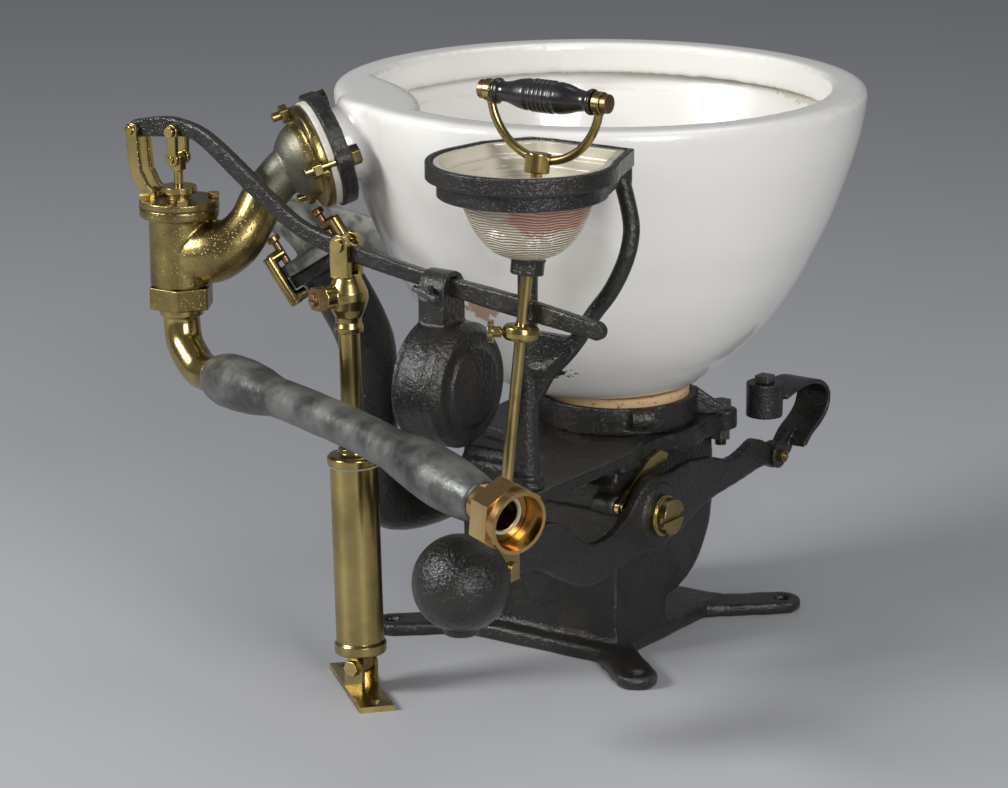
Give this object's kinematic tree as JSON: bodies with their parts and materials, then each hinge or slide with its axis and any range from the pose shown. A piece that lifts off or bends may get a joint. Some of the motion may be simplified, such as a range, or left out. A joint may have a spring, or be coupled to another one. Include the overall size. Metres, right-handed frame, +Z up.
{
  "type": "valve water closet",
  "caption": "Antique valve closet: glazed basin on an iron valve box, weighted outlet valve, pull rod with hand cup, and brass supply valve with slow-closing regulator.",
  "frame": {"origin": "On the floor, under the centre of the outlet valve", "axes": "+Z up, +X to the front of the closet, -Y to the side of the pull rod and the supply pipe"},
  "size_m": [0.465, 0.6164, 0.4798],
  "materials": {
    "glazed_white": "white lead-glazed earthenware, softly glossy",
    "glazed_cream": "cream glazed earthenware with fine throwing ribs outside",
    "iron": "black-leaded rough casting with traces of red lead",
    "brass": "polished old brass",
    "bronze": "dull pitted gunmetal with brass edges",
    "copper_brown": "coppery screw heads, dull",
    "cork": "speckled pressed cork",
    "leather": "oiled valve leather",
    "ebonised_wood": "turned ebonised hardwood, satin",
    "lead": "dull grey lead with wiped joints",
    "painted_lead": "grey lead with worn white paint",
    "pale_rubber": "pale joint washer"
  },
  "bodies": {
    "frame": {"basin": "glazed_white", "cork_ring": "cork", "basin_collar": "iron", "cover_plate": "iron", "cover_bolts": "iron", "valve_box": "iron", "shaft_bush": "brass", "catch_pin": "brass", "cup_standard": "iron", "cup_ring": "iron", "cup": "glazed_cream", "regulator_foot": "brass", "foot_pin": "brass", "supply_body": "bronze", "valve_cover": "bronze", "cover_screws": "copper_brown", "fulcrum_bracket": "brass", "gland_nut": "brass", "inlet_nut": "bronze", "inlet_elbow": "brass", "lead_pipe": "lead", "union_tail": "brass", "horn_ring": "iron", "horn_gasket": "pale_rubber", "horn_studs": "brass", "overflow_arm": "painted_lead", "overflow_trap": "iron", "trap_clamps": "brass", "clamp_screws": "copper_brown"},
    "pull": {"pull_rod": "brass", "rod_fork": "brass", "fork_pin": "brass", "lift_collar": "brass", "collar_screw": "brass", "bail": "brass", "grip_nuts": "brass"},
    "handle": {"grip": "ebonised_wood"},
    "outlet_lever": {"weight_lever": "iron", "ball_weight": "iron", "hub_nut": "brass", "valve_shaft": "iron", "flap_arm": "iron", "flap_disc": "iron", "flap_leather": "leather", "strap_pin": "copper_brown"},
    "strap": {"lever_strap": "iron", "strap_screw": "iron"},
    "catch": {"catch": "brass"},
    "supply_lever": {"supply_lever": "iron", "drum_weight": "iron", "weight_screw": "iron", "lever_pins": "brass"},
    "spindle": {"spindle": "brass"},
    "links": {"links": "brass"},
    "barrel": {"barrel": "brass", "barrel_cap": "brass"},
    "plunger": {"plunger": "brass", "regulator_head": "brass"},
    "head_screw": {"head_screw": "copper_brown"},
    "union_nut": {"union_nut": "brass"}
  },
  "joints": [
    {"name": "pull_slide", "type": "slide", "parent": "frame", "child": "pull", "axis": [0.0308, 0.1231, 0.9919], "range_m": [0, 0.016]},
    {"name": "handle_spin", "type": "hinge", "parent": "pull", "child": "handle", "pos_m": [0.092, -0.243, 0.468], "axis": [1, 0, 0], "continuous": true},
    {"name": "weight_swing", "type": "hinge", "parent": "frame", "child": "outlet_lever", "pos_m": [0, -0.068, 0.118], "axis": [-1, 0, 0], "range_deg": [0, 4.43]},
    {"name": "strap_swing", "type": "hinge", "parent": "outlet_lever", "child": "strap", "pos_m": [0.0825, 0.113, 0.122], "axis": [1, 0, 0], "range_deg": [-4, 4]},
    {"name": "catch_swing", "type": "hinge", "parent": "frame", "child": "catch", "pos_m": [0.0664, -0.099, 0.129], "axis": [1, 0, 0], "range_deg": [-12, 2]},
    {"name": "supply_swing", "type": "hinge", "parent": "frame", "child": "supply_lever", "pos_m": [-0.272, -0.2465, 0.4065], "axis": [0, -1, 0], "range_deg": [0, 2.54]},
    {"name": "spindle_slide", "type": "slide", "parent": "frame", "child": "spindle", "axis": [0, 0, 1], "range_m": [0, 0.00168]},
    {"name": "link_swing", "type": "hinge", "parent": "spindle", "child": "links", "pos_m": [-0.234, -0.2465, 0.388], "axis": [0, 1, 0], "range_deg": [-0.4032, 0]},
    {"name": "regulator_swing", "type": "hinge", "parent": "frame", "child": "barrel", "pos_m": [-0.069, -0.2465, 0.02], "axis": [0, 1, 0], "range_deg": [0, 0.5076]},
    {"name": "plunger_slide", "type": "slide", "parent": "barrel", "child": "plunger", "axis": [-0.031, 0, 0.9995], "range_m": [0, 0.00853]},
    {"name": "head_screw_spin", "type": "hinge", "parent": "plunger", "child": "head_screw", "pos_m": [-0.07782, -0.2465, 0.30386], "axis": [-0.4224, -0.9063, -0.0131], "continuous": true},
    {"name": "union_spin", "type": "hinge", "parent": "frame", "child": "union_nut", "pos_m": [0.128, -0.3735, 0.2116], "axis": [0.9384, -0.3258, -0.1147], "continuous": true}
  ],
  "couplings": [
    {"joint": "weight_swing", "follows": "pull_slide", "rad_per_m": 4.8308},
    {"joint": "supply_swing", "follows": "pull_slide", "rad_per_m": 2.7654},
    {"joint": "spindle_slide", "follows": "pull_slide", "ratio": 0.10493},
    {"joint": "link_swing", "follows": "pull_slide", "rad_per_m": -0.4398},
    {"joint": "regulator_swing", "follows": "pull_slide", "rad_per_m": 0.55374},
    {"joint": "plunger_slide", "follows": "pull_slide", "ratio": 0.53288}
  ]
}
